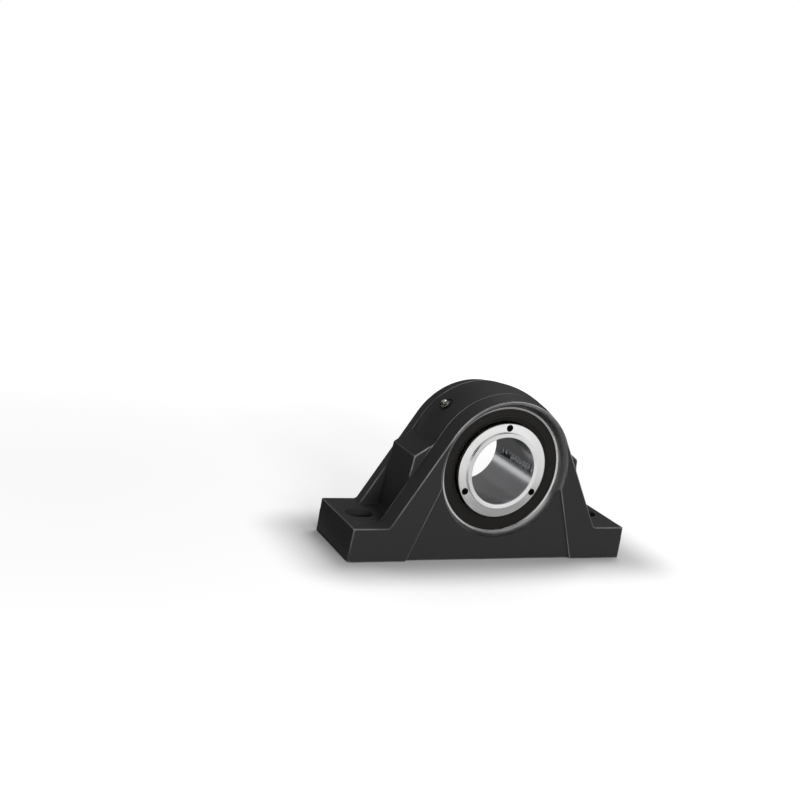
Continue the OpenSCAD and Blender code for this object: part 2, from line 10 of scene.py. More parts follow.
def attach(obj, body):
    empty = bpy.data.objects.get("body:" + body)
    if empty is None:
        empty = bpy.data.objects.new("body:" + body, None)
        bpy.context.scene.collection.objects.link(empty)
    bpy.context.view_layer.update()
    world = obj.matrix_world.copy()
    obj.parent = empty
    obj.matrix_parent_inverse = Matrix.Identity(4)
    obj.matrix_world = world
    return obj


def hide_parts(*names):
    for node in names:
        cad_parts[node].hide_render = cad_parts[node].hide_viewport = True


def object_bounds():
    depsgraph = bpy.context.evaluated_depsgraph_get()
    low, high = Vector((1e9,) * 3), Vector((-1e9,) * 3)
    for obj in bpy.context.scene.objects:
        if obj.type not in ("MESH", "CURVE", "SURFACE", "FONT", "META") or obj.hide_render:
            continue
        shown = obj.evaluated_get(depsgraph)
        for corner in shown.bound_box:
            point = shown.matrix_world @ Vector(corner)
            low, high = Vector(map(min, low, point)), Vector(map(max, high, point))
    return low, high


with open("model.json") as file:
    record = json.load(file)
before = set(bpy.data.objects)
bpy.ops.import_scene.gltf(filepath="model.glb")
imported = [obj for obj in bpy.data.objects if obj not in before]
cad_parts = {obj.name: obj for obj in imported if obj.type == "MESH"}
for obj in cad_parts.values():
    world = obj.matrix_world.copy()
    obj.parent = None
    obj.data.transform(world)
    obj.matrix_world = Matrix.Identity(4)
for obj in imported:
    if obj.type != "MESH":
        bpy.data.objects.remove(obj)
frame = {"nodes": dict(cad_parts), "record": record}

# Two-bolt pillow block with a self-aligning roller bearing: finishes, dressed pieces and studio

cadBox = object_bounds()
nodes = frame["nodes"]
mounts = {mount["name"]: mount for mount in frame["record"]["mounts"]}
mm = 0.001  # sizes below are in millimetres, unless a note says otherwise
past = 1  # how far a cutter stands out of what it cuts
centreHeight = mounts["shaft_bore"]["pos_m"][2] / mm
boreRadius = mounts["shaft_bore"]["dims"]["r_mm"]
slots = mounts["bolt_slots"]["dims"]
dressed = set()  # CAD nodes that a piece made here stands for
print("frame loaded:", len(nodes), "nodes")


def newObject(name, mesh):
    piece = bpy.data.objects.new(name, mesh)
    bpy.context.scene.collection.objects.link(piece)
    return piece


def finish(name, colour, metal, rough, **sockets):
    material = bpy.data.materials.new(name)
    material.use_nodes = True
    shader = material.node_tree.nodes["Principled BSDF"]
    shader.inputs["Base Color"].default_value = (*colour, 1)
    shader.inputs["Metallic"].default_value = metal
    shader.inputs["Roughness"].default_value = rough
    for socket, value in sockets.items():
        shader.inputs[socket.replace("_", " ")].default_value = value
    return material, material.node_tree, shader


def addNode(tree, kind, **settings):
    node = tree.nodes.new(kind)
    for key, value in settings.items():
        if key in node.inputs:
            node.inputs[key].default_value = value
        else:
            setattr(node, key, value)
    return node


def calculate(tree, operation, first, second=None):
    node = addNode(tree, "ShaderNodeMath", operation=operation)
    for socket, value in enumerate((first, second)):
        if isinstance(value, (int, float)):
            node.inputs[socket].default_value = value
        elif value is not None:
            tree.links.new(value, node.inputs[socket])
    return node.outputs[0]


def calculateVector(tree, operation, first, second=(0, 0, 0)):
    node = addNode(tree, "ShaderNodeVectorMath", operation=operation)
    tree.links.new(first, node.inputs[0])
    node.inputs[1].default_value = second
    return node.outputs["Value" if operation == "LENGTH" else "Vector"]


def splitUp(tree, vector):
    node = addNode(tree, "ShaderNodeSeparateXYZ")
    tree.links.new(vector, node.inputs["Vector"])
    return node.outputs["X"], node.outputs["Y"], node.outputs["Z"]


def joinUp(tree, *values):
    node = addNode(tree, "ShaderNodeCombineXYZ")
    for socket, value in enumerate(values):
        tree.links.new(value, node.inputs[socket])
    return node.outputs[0]


def noise(tree, where, scale, detail):
    node = addNode(tree, "ShaderNodeTexNoise", Scale=scale, Detail=detail)
    tree.links.new(where, node.inputs["Vector"])
    return node.outputs["Fac"]


def ramp(tree, value, low, high, fromLow=0.3, fromHigh=0.7, shape="LINEAR"):
    node = addNode(tree, "ShaderNodeMapRange", interpolation_type=shape)
    node.inputs["From Min"].default_value = fromLow
    node.inputs["From Max"].default_value = fromHigh
    node.inputs["To Min"].default_value = low
    node.inputs["To Max"].default_value = high
    tree.links.new(value, node.inputs["Value"])
    return node.outputs["Result"]


def blendColours(tree, amount, first, second):
    node = addNode(tree, "ShaderNodeMix", data_type="RGBA")
    tree.links.new(amount, node.inputs["Factor"])
    node.inputs["A"].default_value = (*first, 1)
    node.inputs["B"].default_value = (*second, 1)
    return node.outputs["Result"]


def bump(tree, shader, height, strength, distance):
    node = addNode(tree, "ShaderNodeBump", Strength=strength, Distance=distance * mm)
    tree.links.new(height, node.inputs["Height"])
    normal = shader.inputs["Normal"]
    if normal.is_linked:  # on top of the bump before it
        tree.links.new(normal.links[0].from_socket, node.inputs["Normal"])
    tree.links.new(node.outputs["Normal"], normal)


def objectPlace(tree):
    return addNode(tree, "ShaderNodeTexCoord").outputs["Object"]


def fromShaft(tree):
    # How far a place is beside, along and above the shaft's axis
    beside, along, height = splitUp(tree, objectPlace(tree))
    return beside, along, calculate(tree, "SUBTRACT", height, centreHeight * mm)


def aroundShaft(tree, grooves, sweep):
    # A place as (distance from the axis, place along it, angle), so that noise runs in rings
    beside, along, above = fromShaft(tree)
    radius = calculateVector(tree, "LENGTH", joinUp(tree, beside, above))
    angle = calculate(tree, "ARCTAN2", above, beside)
    scaled = ((radius, grooves), (along, grooves), (angle, sweep))
    return joinUp(tree, *(calculate(tree, "MULTIPLY", value, scale) for value, scale in scaled))


castingPaint = {
    "colour": (0.0240, 0.0241, 0.0246),
    "worn": (0.30, 0.30, 0.305),  # where the paint is rubbed, and painted highlight along sharp edges and rib steps
    "rough": (0.50, 0.62),
    "gloss": 0.07,  # specular level
    "edges": (0.15, 0.50),  # bend of the surface, per millimetre, where rubbing and painted edge highlight start and are full
    "byHeight": ((25, 0.45), (105, 1.25)),  # how much is rubbed and painted as highlight at two heights, more towards the top
    "byPatch": (0.35, 1.0),  # and how much from patch to patch
    "patchSize": 28,
    "ribLine": (20.3, 0.15, 0.45),  # painted highlight line along a rib's step over the dome: its place, half width, fade
    "ribReach": ((57, 58), (65, 67)),  # from the shaft's axis: where that line starts and ends
    "ribFacing": (0.5, 0.8),  # it fades where the surface turns to face along the shaft
    "grain": (0.55, 0.6, 0.11),  # size, strength and depth of the cast skin's grain
    "swell": (9.0, 0.5, 0.35),  # and of its soft unevenness
}


def paintedRibHighlights(tree):
    # Painted highlight: 1 along the low step between each rib and the dome, where the surface faces away from
    # the shaft
    line, half, fade = castingPaint["ribLine"]
    beside, along, above = fromShaft(tree)
    fromMiddle = calculate(tree, "ABSOLUTE", along)
    off = calculate(tree, "ABSOLUTE", calculate(tree, "SUBTRACT", fromMiddle, line * mm))
    near = ramp(tree, off, 1.0, 0.0, half * mm, fade * mm)
    radius = calculateVector(tree, "LENGTH", joinUp(tree, beside, above))
    for (first, last), low, high in zip(castingPaint["ribReach"], (0.0, 1.0), (1.0, 0.0)):
        near = calculate(tree, "MULTIPLY", near, ramp(tree, radius, low, high, first * mm, last * mm))
    normal = splitUp(tree, addNode(tree, "ShaderNodeTexCoord").outputs["Normal"])
    sideways = calculate(tree, "ABSOLUTE", normal[1])
    return calculate(tree, "MULTIPLY", near, ramp(tree, sideways, 1.0, 0.0, *castingPaint["ribFacing"]))


def makeCastingPaint():
    look = castingPaint
    colour, rough = look["colour"], look["rough"]
    material, tree, shader = finish("castingPaint", colour, 0.0, rough[0], Specular_IOR_Level=look["gloss"])
    where = objectPlace(tree)
    grainSize, grainStrength, grainDepth = look["grain"]
    swellSize, swellStrength, swellDepth = look["swell"]
    grain = noise(tree, where, 1 / (grainSize * mm), 4.0)
    swell = noise(tree, where, 1 / (swellSize * mm), 2.0)
    patches = noise(tree, where, 1 / (look["patchSize"] * mm), 3.0)
    tree.links.new(ramp(tree, patches, *rough), shader.inputs["Roughness"])
    bump(tree, shader, swell, swellStrength, swellDepth)
    bump(tree, shader, grain, grainStrength, grainDepth)
    bend = addNode(tree, "ShaderNodeAttribute", attribute_name="bend").outputs["Fac"]
    # Lighter where the paint is rubbed on sharp edges, with painted highlight on those edges and along the
    # rib steps
    rubbedAndHighlit = calculate(tree, "MAXIMUM", ramp(tree, bend, 0.0, 1.0, *look["edges"]), paintedRibHighlights(tree))
    (low, little), (high, much) = look["byHeight"]
    height = splitUp(tree, where)[2]
    rubbedAndHighlit = calculate(tree, "MULTIPLY", rubbedAndHighlit, ramp(tree, height, little, much, low * mm, high * mm))
    rubbedAndHighlit = calculate(tree, "MULTIPLY", rubbedAndHighlit, ramp(tree, patches, *look["byPatch"]))
    tree.links.new(blendColours(tree, rubbedAndHighlit, colour, look["worn"]), shader.inputs["Base Color"])
    return material


turning = {
    "grooves": (0.22, 0.9),  # distance between the grooves, and how quickly they change round the axis
    "streaks": (1.6, 3.0),  # the same for wider streaks of gloss
    "grooveStrength": 0.35,
}

turnedMetals = {  # groove depth in mm, spread of the highlight across the grooves
    "machinedIron": {"colour": (0.32, 0.32, 0.32), "rough": 0.32, "grooveDepth": 0.03, "spread": 0.5},
    "mouthIron": {"colour": (0.26, 0.26, 0.262), "rough": 0.34, "grooveDepth": 0.04, "spread": 0.5},
    "rimSteel": {"colour": (0.70, 0.70, 0.69), "rough": 0.30, "grooveDepth": 0.02, "spread": 0.6},
    "ringSteel": {"colour": (0.55, 0.56, 0.58), "rough": 0.25, "grooveDepth": 0.015, "spread": 0.5},
    "collarSteel": {"colour": (0.84, 0.84, 0.835), "rough": 0.17, "grooveDepth": 0.008, "spread": 0.85,
                    "patchiness": 0.02, "tint": 0.9},
    "sleeveSteel": {"colour": (0.58, 0.585, 0.60), "rough": 0.22, "grooveDepth": 0.002, "spread": 0.3,
                    "patchiness": 0.01, "tint": 0.94},
}


def makeTurned(name, colour, rough, grooveDepth, spread, patchiness=0.06, tint=0.82):
    # Metal turned on a lathe: fine grooves round the shaft's axis
    material, tree, shader = finish(name, colour, 1.0, rough, Anisotropic=spread)
    tangent = addNode(tree, "ShaderNodeTangent", direction_type="RADIAL", axis="Y")
    tree.links.new(tangent.outputs[0], shader.inputs["Tangent"])
    grooveSize, grooveSweep = turning["grooves"]
    streakSize, streakSweep = turning["streaks"]
    grooves = noise(tree, aroundShaft(tree, 1 / (grooveSize * mm), grooveSweep), 1.0, 2.0)
    streaks = noise(tree, aroundShaft(tree, 1 / (streakSize * mm), streakSweep), 1.0, 3.0)
    roughness = ramp(tree, streaks, rough - patchiness, rough + patchiness)
    tree.links.new(roughness, shader.inputs["Roughness"])
    darker = tuple(channel * tint for channel in colour)
    mixed = blendColours(tree, ramp(tree, streaks, 0.0, 1.0), darker, colour)
    tree.links.new(mixed, shader.inputs["Base Color"])
    bump(tree, shader, grooves, turning["grooveStrength"], grooveDepth)
    return material


plainFinishes = {  # grain size and depth in mm
    "sealRubber": {"colour": (0.0095, 0.0090, 0.0078), "metal": 0.0, "rough": 0.5, "grain": 0.4,
                   "depth": 0.03, "gloss": 0.2},
    "screwSteel": {"colour": (0.03, 0.03, 0.032), "metal": 1.0, "rough": 0.4, "grain": 0.3, "depth": 0.02},
    "springSteel": {"colour": (0.28, 0.28, 0.30), "metal": 1.0, "rough": 0.32, "grain": 0.3, "depth": 0.01},
    "nippleSteel": {"colour": (0.38, 0.37, 0.35), "metal": 1.0, "rough": 0.16, "grain": 0.3, "depth": 0.01},
    "rollerSteel": {"colour": (0.72, 0.73, 0.75), "metal": 1.0, "rough": 0.14, "grain": 0.2, "depth": 0.004},
    "cageSteel": {"colour": (0.10, 0.10, 0.105), "metal": 1.0, "rough": 0.45, "grain": 0.5, "depth": 0.02},
}
plainGrain = {"strength": 0.4, "broader": 14, "vary": 0.12}  # broader patches, and how much they vary


def makePlain(name, colour, metal, rough, grain, depth, gloss=0.5):
    # Even finish with a fine grain
    material, tree, shader = finish(name, colour, metal, rough, Specular_IOR_Level=gloss)
    vary = plainGrain["vary"]
    where = objectPlace(tree)
    fine = noise(tree, where, 1 / (grain * mm), 3.0)
    broad = noise(tree, where, 1 / (grain * plainGrain["broader"] * mm), 3.0)
    roughness = ramp(tree, broad, rough * (1 - vary), rough * (1 + vary))
    tree.links.new(roughness, shader.inputs["Roughness"])
    darker = tuple(channel * (1 - 2 * vary) for channel in colour)
    mixed = blendColours(tree, ramp(tree, broad, 0.0, 1.0), darker, colour)
    tree.links.new(mixed, shader.inputs["Base Color"])
    bump(tree, shader, fine, plainGrain["strength"], depth)
    return material


finishes = {"castingPaint": makeCastingPaint()}
finishes.update({name: makeTurned(name, **look) for name, look in turnedMetals.items()})
finishes.update({name: makePlain(name, **look) for name, look in plainFinishes.items()})
print("finishes made:", len(finishes))

# From a piece drawn round +Z to its place: on the shaft with +Z to the rear, or on the nipple's axis
nippleTilt = 45  # degrees from upright, to the left
shaftFrame = Matrix(((1, 0, 0, 0), (0, 0, 1, 0), (0, 1, 0, centreHeight * mm), (0, 0, 0, 1)))
nippleTurn = Matrix.Rotation(-math.radians(nippleTilt), 4, "Y")
nippleFrame = Matrix.Translation((0, 0, centreHeight * mm)) @ nippleTurn


def facesOutwards(mesh):
    work = bmesh.new()
    work.from_mesh(mesh)
    bmesh.ops.recalc_face_normals(work, faces=work.faces)
    work.to_mesh(mesh)
    work.free()


def lathe(name, profile, steps=256, closed=True, where=shaftFrame):
    # Turns a profile of (radius, along) points round the axis; an open one gets a flat disc at each end
    mesh = bpy.data.meshes.new(name)
    count = len(profile)
    points = []
    for i in range(steps):
        turn = 2 * math.pi * i / steps
        for radius, along in profile:
            points.append(where @ (Vector((radius * math.cos(turn), radius * math.sin(turn), along)) * mm))
    faces = []
    for i in range(steps):
        here = i * count
        there = (i + 1) % steps * count
        for k in range(count if closed else count - 1):
            after = (k + 1) % count
            faces.append((here + k, here + after, there + after, there + k))
    if not closed:
        faces.append([i * count for i in range(steps)])
        faces.append([i * count + count - 1 for i in range(steps)])
    mesh.from_pydata(points, [], faces)
    facesOutwards(mesh)
    return newObject(name, mesh)


def eased(corners, bends=3):
    # Rounds the corners of a closed profile, each of them (radius, along, ease)
    longest = 0.45  # share of a side that one corner may take
    points = []
    for i, (*corner, ease) in enumerate(corners):
        corner = Vector(corner)
        toLast = Vector(corners[i - 1][:2]) - corner
        toNext = Vector(corners[(i + 1) % len(corners)][:2]) - corner
        if ease == 0:
            points.append(tuple(corner))
            continue
        start = corner + toLast.normalized() * min(ease, toLast.length * longest)
        end = corner + toNext.normalized() * min(ease, toNext.length * longest)
        for k in range(bends + 1):
            t = k / bends
            points.append(tuple(start * (1 - t) ** 2 + corner * 2 * t * (1 - t) + end * t * t))
    return points


def rod(name, radius, low, high, steps=64, topRadius=None):
    # An upright rod or cone, to be moved into place
    mesh = bpy.data.meshes.new(name)
    work = bmesh.new()
    bmesh.ops.create_cone(
        work, cap_ends=True, segments=steps, radius1=radius * mm,
        radius2=(radius if topRadius is None else topRadius) * mm, depth=(high - low) * mm,
        matrix=Matrix.Translation((0, 0, (low + high) / 2 * mm)),
    )
    work.to_mesh(mesh)
    work.free()
    return newObject(name, mesh)


def hexagonRadius(width):  # from its width across the flats
    return width / 2 / math.cos(math.pi / 6)


def moved(piece, matrix):
    piece.data.transform(matrix)
    return piece


def applyAll(piece):
    bpy.context.view_layer.update()
    made = bpy.data.meshes.new_from_object(piece.evaluated_get(bpy.context.evaluated_depsgraph_get()))
    piece.modifiers.clear()
    piece.data = made


def cut(piece, cutter, operation="DIFFERENCE"):
    change = piece.modifiers.new("cut", "BOOLEAN")
    change.operation = operation
    change.solver = "MANIFOLD"
    change.object = cutter
    change.material_mode = "TRANSFER"
    applyAll(piece)
    bpy.data.objects.remove(cutter)


def smoothShade(piece, sharpAbove=32, keepFlats=True):
    piece.data.shade_smooth()
    piece.data.set_sharp_from_angle(angle=math.radians(sharpAbove))
    if keepFlats:  # wide faces beside eased edges catch the light as flats
        flats = piece.modifiers.new("flats", "WEIGHTED_NORMAL")
        flats.mode = "FACE_AREA_WITH_ANGLE"
        flats.keep_sharp = True
        applyAll(piece)


def wear(piece, *materials):
    piece.data.materials.clear()
    for material in materials:
        piece.data.materials.append(material)


def dress(piece, body, node):
    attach(piece, body)
    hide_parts(node)
    dressed.add(node)


casting = {
    "finishes": ("castingPaint", "machinedIron", "rimSteel", "mouthIron"),
    "weld": 0.002,
    "voxel": 0.7,
    "smoothing": (0.5, 2),  # strength and rounds
    "keep": 0.30,  # share of the skin's triangles
    "bendBlur": 2,
    "sharpAbove": 30,  # degrees
    "faceY": 34.5,
    "footHeight": 27,
    # Plugs fill the machined places while the skin is made
    "mouthPlug": (55.3, 32.4),
    "slotPlug": 1.4,  # how much wider than the slot it is
    "nipplePlug": (7.5, 50, 62.3),  # radius, bottom and top
    # The mouth's turned steps from the seat outwards: radius, and where they end along the shaft
    "seat": (50, 26.5),
    "rim": (51.5, 27.0),
    "bevel": (53, 28.8),
    "wall": (54, 32.5),
    "mouth": (55.8, 34.5),
    "mouthSlope": 0.9,
    "groove": (52, 12.5, 14.6),  # of the snap ring: radius, start and end
    "slotPast": 2,  # how far the slot's cutter stands out
    "dimples": ((-113, -23.5), (113, 23.5)),
    "dimpleWidth": 3.4,
    "dimplePoint": 0.2,
    "nippleHoles": ((6.5, 61.4), (3, 54.4), (1.75, 49)),  # radius and bottom of spot face, thread, duct
    "nippleHolesTop": 75,
}


def slotBody(width, length, low, high, steps=24):
    # An upright slot with round ends, at the middle of the block
    mesh = bpy.data.meshes.new("slotBody")
    half = (length - width) / 2
    outline = []
    for side in (1, -1):
        for i in range(steps + 1):
            turn = math.radians(-90 + 180 * i / steps) + (0 if side > 0 else math.pi)
            outline.append((side * half + width / 2 * math.cos(turn), width / 2 * math.sin(turn)))
    count = len(outline)
    points = [Vector((x, y, z)) * mm for z in (low, high) for x, y in outline]
    faces = [(i, (i + 1) % count, count + (i + 1) % count, count + i) for i in range(count)]
    faces += [list(range(count)), list(range(count, 2 * count))]
    mesh.from_pydata(points, [], faces)
    facesOutwards(mesh)
    return newObject("slotBody", mesh)


def footSlots(wider, low, high):
    # Bodies of both bolt slots
    width = slots["hole_r_mm"] * 2 + wider
    length = slots["slot_length_mm"] + wider
    bodies = []
    for side in (-1, 1):
        toFoot = Matrix.Translation((side * slots["spacing_x_mm"] / 2 * mm, 0, 0))
        bodies.append(moved(slotBody(width, length, low, high), toFoot))
    return bodies


def markBend(piece):
    # Keeps how sharply each corner of the skin bends outwards, per millimetre, for the rubbed edges and their
    # painted highlights
    mesh = piece.data
    count = len(mesh.vertices)
    points = np.empty(count * 3)
    mesh.vertices.foreach_get("co", points)
    normals = np.empty(count * 3)
    mesh.vertices.foreach_get("normal", normals)
    pairs = np.empty(len(mesh.edges) * 2, dtype=np.int64)
    mesh.edges.foreach_get("vertices", pairs)
    points, normals, pairs = points.reshape(-1, 3) / mm, normals.reshape(-1, 3), pairs.reshape(-1, 2)
    starts = np.concatenate((pairs[:, 0], pairs[:, 1]))
    ends = np.concatenate((pairs[:, 1], pairs[:, 0]))
    neighbours = np.bincount(starts, minlength=count)
    step = points[ends] - points[starts]
    drop = -np.einsum("ij,ij->i", step, normals[starts])
    bend = np.bincount(starts, 2 * drop / np.einsum("ij,ij->i", step, step), count) / neighbours
    for _ in range(casting["bendBlur"]):
        bend = 0.5 * bend + 0.5 * np.bincount(starts, bend[ends], count) / neighbours
    layer = mesh.attributes.new("bend", "FLOAT", "POINT")
    layer.data.foreach_set("value", bend.astype(np.float32))
    print("sharpest bend:", round(float(bend.max()), 2), "per mm")


def castSkin():
    # The CAD's casting with its machined places plugged, every edge softened and its bend marked
    c = casting
    piece = newObject("castHousing", nodes["housing"].data.copy())
    work = bmesh.new()
    work.from_mesh(piece.data)
    bmesh.ops.remove_doubles(work, verts=work.verts, dist=c["weld"] * mm)
    work.to_mesh(piece.data)
    work.free()
    wear(piece, finishes["castingPaint"])
    plugRadius, plugY = c["mouthPlug"]
    plugs = [lathe("plug", [(plugRadius, -plugY), (plugRadius, plugY)], 96, False)]
    plugs += footSlots(c["slotPlug"], 0, c["footHeight"])
    plugs.append(moved(rod("plug", *c["nipplePlug"]), nippleFrame))
    for plug in plugs:
        cut(piece, plug, "UNION")
    remesh = piece.modifiers.new("remesh", "REMESH")
    remesh.mode = "VOXEL"
    remesh.voxel_size = c["voxel"] * mm
    soften = piece.modifiers.new("soften", "SMOOTH")
    soften.factor, soften.iterations = c["smoothing"]
    applyAll(piece)
    markBend(piece)
    thin = piece.modifiers.new("thin", "DECIMATE")
    thin.ratio = c["keep"]
    applyAll(piece)
    print("casting skin:", len(piece.data.polygons), "faces")
    return piece


def wearCasting(piece):
    wear(piece, *(finishes[name] for name in casting["finishes"]))


def mouthCutter():
    # The turned space from the rear mouth through the seat to the front mouth, with its finishes
    c = casting
    seatRadius = c["seat"][0]
    grooveRadius, grooveStart, grooveEnd = c["groove"]
    half = [
        (seatRadius, grooveStart), (grooveRadius, grooveStart),
        (grooveRadius, grooveEnd), (seatRadius, grooveEnd),
        c["seat"], c["rim"], c["bevel"], c["wall"], c["mouth"],
        (c["mouth"][0] + c["mouthSlope"], c["faceY"] + past),
    ]
    cutter = lathe("mouthCutter", [(radius, -along) for radius, along in reversed(half)] + half, closed=False)
    wearCasting(cutter)
    for face in cutter.data.polygons:
        radius = math.hypot(face.center.x, face.center.z - centreHeight * mm) / mm
        inner = "rimSteel" if radius < c["rim"][0] else "machinedIron"
        face.material_index = c["finishes"].index(inner if radius < c["bevel"][0] else "mouthIron")
    return cutter


def makeCasting():
    c = casting
    foot = c["footHeight"]
    piece = castSkin()
    wearCasting(piece)
    cut(piece, mouthCutter())
    cutters = footSlots(0, -c["slotPast"], foot + c["slotPast"])
    half, point = c["dimpleWidth"] / 2, c["dimplePoint"]
    for x, y in c["dimples"]:
        cutter = rod("dimple", point, foot - half + point, foot + past, 32, half + past)
        cutters.append(moved(cutter, Matrix.Translation((x * mm, y * mm, 0))))
    for radius, low in c["nippleHoles"]:
        cutters.append(moved(rod("nippleSeat", radius, low, c["nippleHolesTop"]), nippleFrame))
    for cutter in cutters:
        wear(cutter, finishes["castingPaint"])
        cut(piece, cutter)
    smoothShade(piece, c["sharpAbove"], False)
    dress(piece, "block", "housing")


makeCasting()
print("casting made")

lockingCollar = {
    "inner": 31.03,
    "outer": 38.45,
    "front": -28.3,
    "back": -20.0,
    "ease": 0.5,
    "lip": (boreRadius + 0.03, 31, -30.2),  # inner and outer radius and end of the lip over the sleeve
    "dish": 0.35,
    "bead": (30.46, -25.47, -22.93),
    "screwAngles": (90, -30, -150),  # degrees from +X towards +Z
    "screwCircle": 34.8,
    "screwRadius": 2.5,
    "countersink": 0.35,
    "screwPlay": 0.03,
    "screwHead": (-26.3, 0.3),  # its place and its ease
    "screwTip": (-18.53, 0.6),
    "socketWidth": 2.5,
    "socketDepth": 2.5,
}


def screwFrame(angle):
    # Where a screw of the collar lies, with +Z to the rear
    turn, radius = math.radians(angle), lockingCollar["screwCircle"]
    middle = Vector((radius * math.cos(turn), 0, centreHeight + radius * math.sin(turn))) * mm
    return Matrix.Translation(middle) @ Matrix.Rotation(-math.pi / 2, 4, "X")


def makeCollar():
    c = lockingCollar
    inner, outer, front, back, ease = c["inner"], c["outer"], c["front"], c["back"], c["ease"]
    lipIn, lipOut, lipEnd = c["lip"]
    bead, beadFront, beadBack = c["bead"]
    corners = [
        (lipIn, front, 0.1), (lipIn, lipEnd + c["dish"], 0.35), (lipOut, lipEnd, 0.3), (lipOut, front, 0.15),
        (outer, front, ease), (outer, back, ease), (inner, back, 0.2), (inner, beadBack, 0),
        (bead, beadBack, 0), (bead, beadFront, 0), (inner, beadFront, 0), (inner, front, 0),
    ]
    piece = lathe("lockingCollar", eased(corners, bends=4))
    wear(piece, finishes["collarSteel"])
    radius, sink = c["screwRadius"], c["countersink"]
    profile = [
        (radius + sink + past, front - past), (radius + sink, front),
        (radius, front + sink), (radius, back + past),
    ]
    for angle in c["screwAngles"]:
        hole = lathe("hole", profile, 48, False, screwFrame(angle))
        wear(hole, finishes["screwSteel"])
        cut(piece, hole)
    smoothShade(piece)
    dress(piece, "rotor", "mounting_collar")


def makeGrubScrews():
    c = lockingCollar
    radius = c["screwRadius"] - c["screwPlay"]
    head, headEase = c["screwHead"]
    tip, tipEase = c["screwTip"]
    profile = [
        (radius - headEase, head), (radius, head + headEase),
        (radius, tip - tipEase), (radius - tipEase, tip),
    ]
    screws = []
    for angle in c["screwAngles"]:
        screw = lathe("screw", profile, 48, False, screwFrame(angle))
        socket = rod("socket", hexagonRadius(c["socketWidth"]), head - past, head + c["socketDepth"], 6)
        cut(screw, moved(socket, screwFrame(angle)))
        screws.append(screw)
    piece, *others = screws
    for screw in others:
        cut(piece, screw, "UNION")
    piece.name = "grubScrews"
    wear(piece, finishes["screwSteel"])
    smoothShade(piece)
    dress(piece, "rotor", "grub_screws")


splitSleeve = {
    "bore": boreRadius,
    "outer": 31,
    "front": -28.24,
    "rear": 33,
    "rearEase": 0.6,
    "step": 0.6,
    "stepStart": -17.5,
    "stepPitch": 4.3,
    "stepCount": 7,
    "collarGroove": (-25.5, -22.9),
    "slitWidth": 6.5,
    "slitAngle": 2,
    "slitStop": 10,
    "slitBox": (20, 100, 30),  # depth and length of what cuts it, and how far out its middle lies
    "sharpAbove": 25,  # degrees
}


def makeSleeve():
    c = splitSleeve
    bore, outer, neck, front, rear = c["bore"], c["outer"], c["outer"] - c["step"], c["front"], c["rear"]
    rearEase = c["rearEase"]
    grooveStart, grooveEnd = c["collarGroove"]
    corners = [
        (bore, rear - rearEase, 0.3), (bore, front, 0.1), (outer, front, 0.2), (outer, grooveStart, 0.1),
        (neck, grooveStart, 0), (neck, grooveEnd, 0), (outer, grooveEnd, 0.1), (outer, c["stepStart"], 0),
    ]
    for i in range(c["stepCount"]):
        start = c["stepStart"] + i * c["stepPitch"]
        corners += [(neck, start, 0), (outer, start + c["stepPitch"], 0.1)]
    corners += [
        (neck, c["stepStart"] + c["stepCount"] * c["stepPitch"], 0), (neck, rear - rearEase, 0.2),
        (neck - rearEase, rear, 0.2), (bore + rearEase, rear, 0.2),
    ]
    piece = lathe("splitSleeve", eased(corners))
    wear(piece, finishes["sleeveSteel"])
    slit = newObject("slit", bpy.data.meshes.new("slit"))
    depth, length, out = c["slitBox"]
    work = bmesh.new()
    bmesh.ops.create_cube(work, size=1)
    size = Matrix.Diagonal((depth * mm, length * mm, c["slitWidth"] * mm, 1))
    spin = Matrix.Rotation(-math.radians(c["slitAngle"]), 4, "Y")
    middle = Matrix.Translation((out * mm, (rear - c["slitStop"] - length / 2) * mm, 0))
    work.transform(Matrix.Translation((0, 0, centreHeight * mm)) @ spin @ middle @ size)
    work.to_mesh(slit.data)
    work.free()
    wear(slit, finishes["sleeveSteel"])
    cut(piece, slit)
    smoothShade(piece, c["sharpAbove"])
    dress(piece, "rotor", "stepped_sleeve")


sealRing = {
    "outer": 49.97,
    "lip": 39.35,
    "face": 26.0,
    "end": 16.55,
    "edge": 0.4,
    "step": (43.07, 0.8),
    "web": 2.2,
    "lipThick": 1.4,
    "band": 47.3,
    "reliefs": (45.0, 47.6),  # middles of two shallow grooves in the face
    "reliefWidth": 0.7,
    "reliefDepth": 0.3,
    "ease": 0.25,
    "sharpAbove": 60,  # degrees
}


def makeSeal(name, side):
    c = sealRing
    outer, lip, face, edge, band = c["outer"], c["lip"], c["face"], c["edge"], c["band"]
    step, drop = c["step"]
    web = face - c["web"]
    profile = [(outer, c["end"]), (outer, face - edge), (outer - edge, face)]
    for middle in reversed(c["reliefs"]):
        half = c["reliefWidth"] / 2
        profile += [(middle + half, face), (middle, face - c["reliefDepth"]), (middle - half, face)]
    profile += [(step, face), (step - drop, face - drop), (lip, web), (lip, web - c["lipThick"]), (step, web),
                (band, web), (band, c["end"])]
    rounded = eased([(*corner, c["ease"]) for corner in profile])
    piece = lathe(name + "Dressed", [(radius, side * along) for radius, along in rounded])
    wear(piece, finishes["sealRubber"])
    smoothShade(piece, c["sharpAbove"])
    dress(piece, "block", name)


nipple = {
    "thread": (2.97, 54.4),  # radius and bottom
    "seat": 61.4,
    "overlap": 0.1,  # of the shank into the hexagon
    "hexWidth": 7,
    "hexTop": 63.4,
    "hexBevel": 0.25,
    "neck": (1.9, 64.0),
    "head": (2.5, 64.6, 65.4),
    "tip": (1.6, 66.9),
    "hole": 0.8,
    "bore": (1.35, 55.2, 65.85),
}


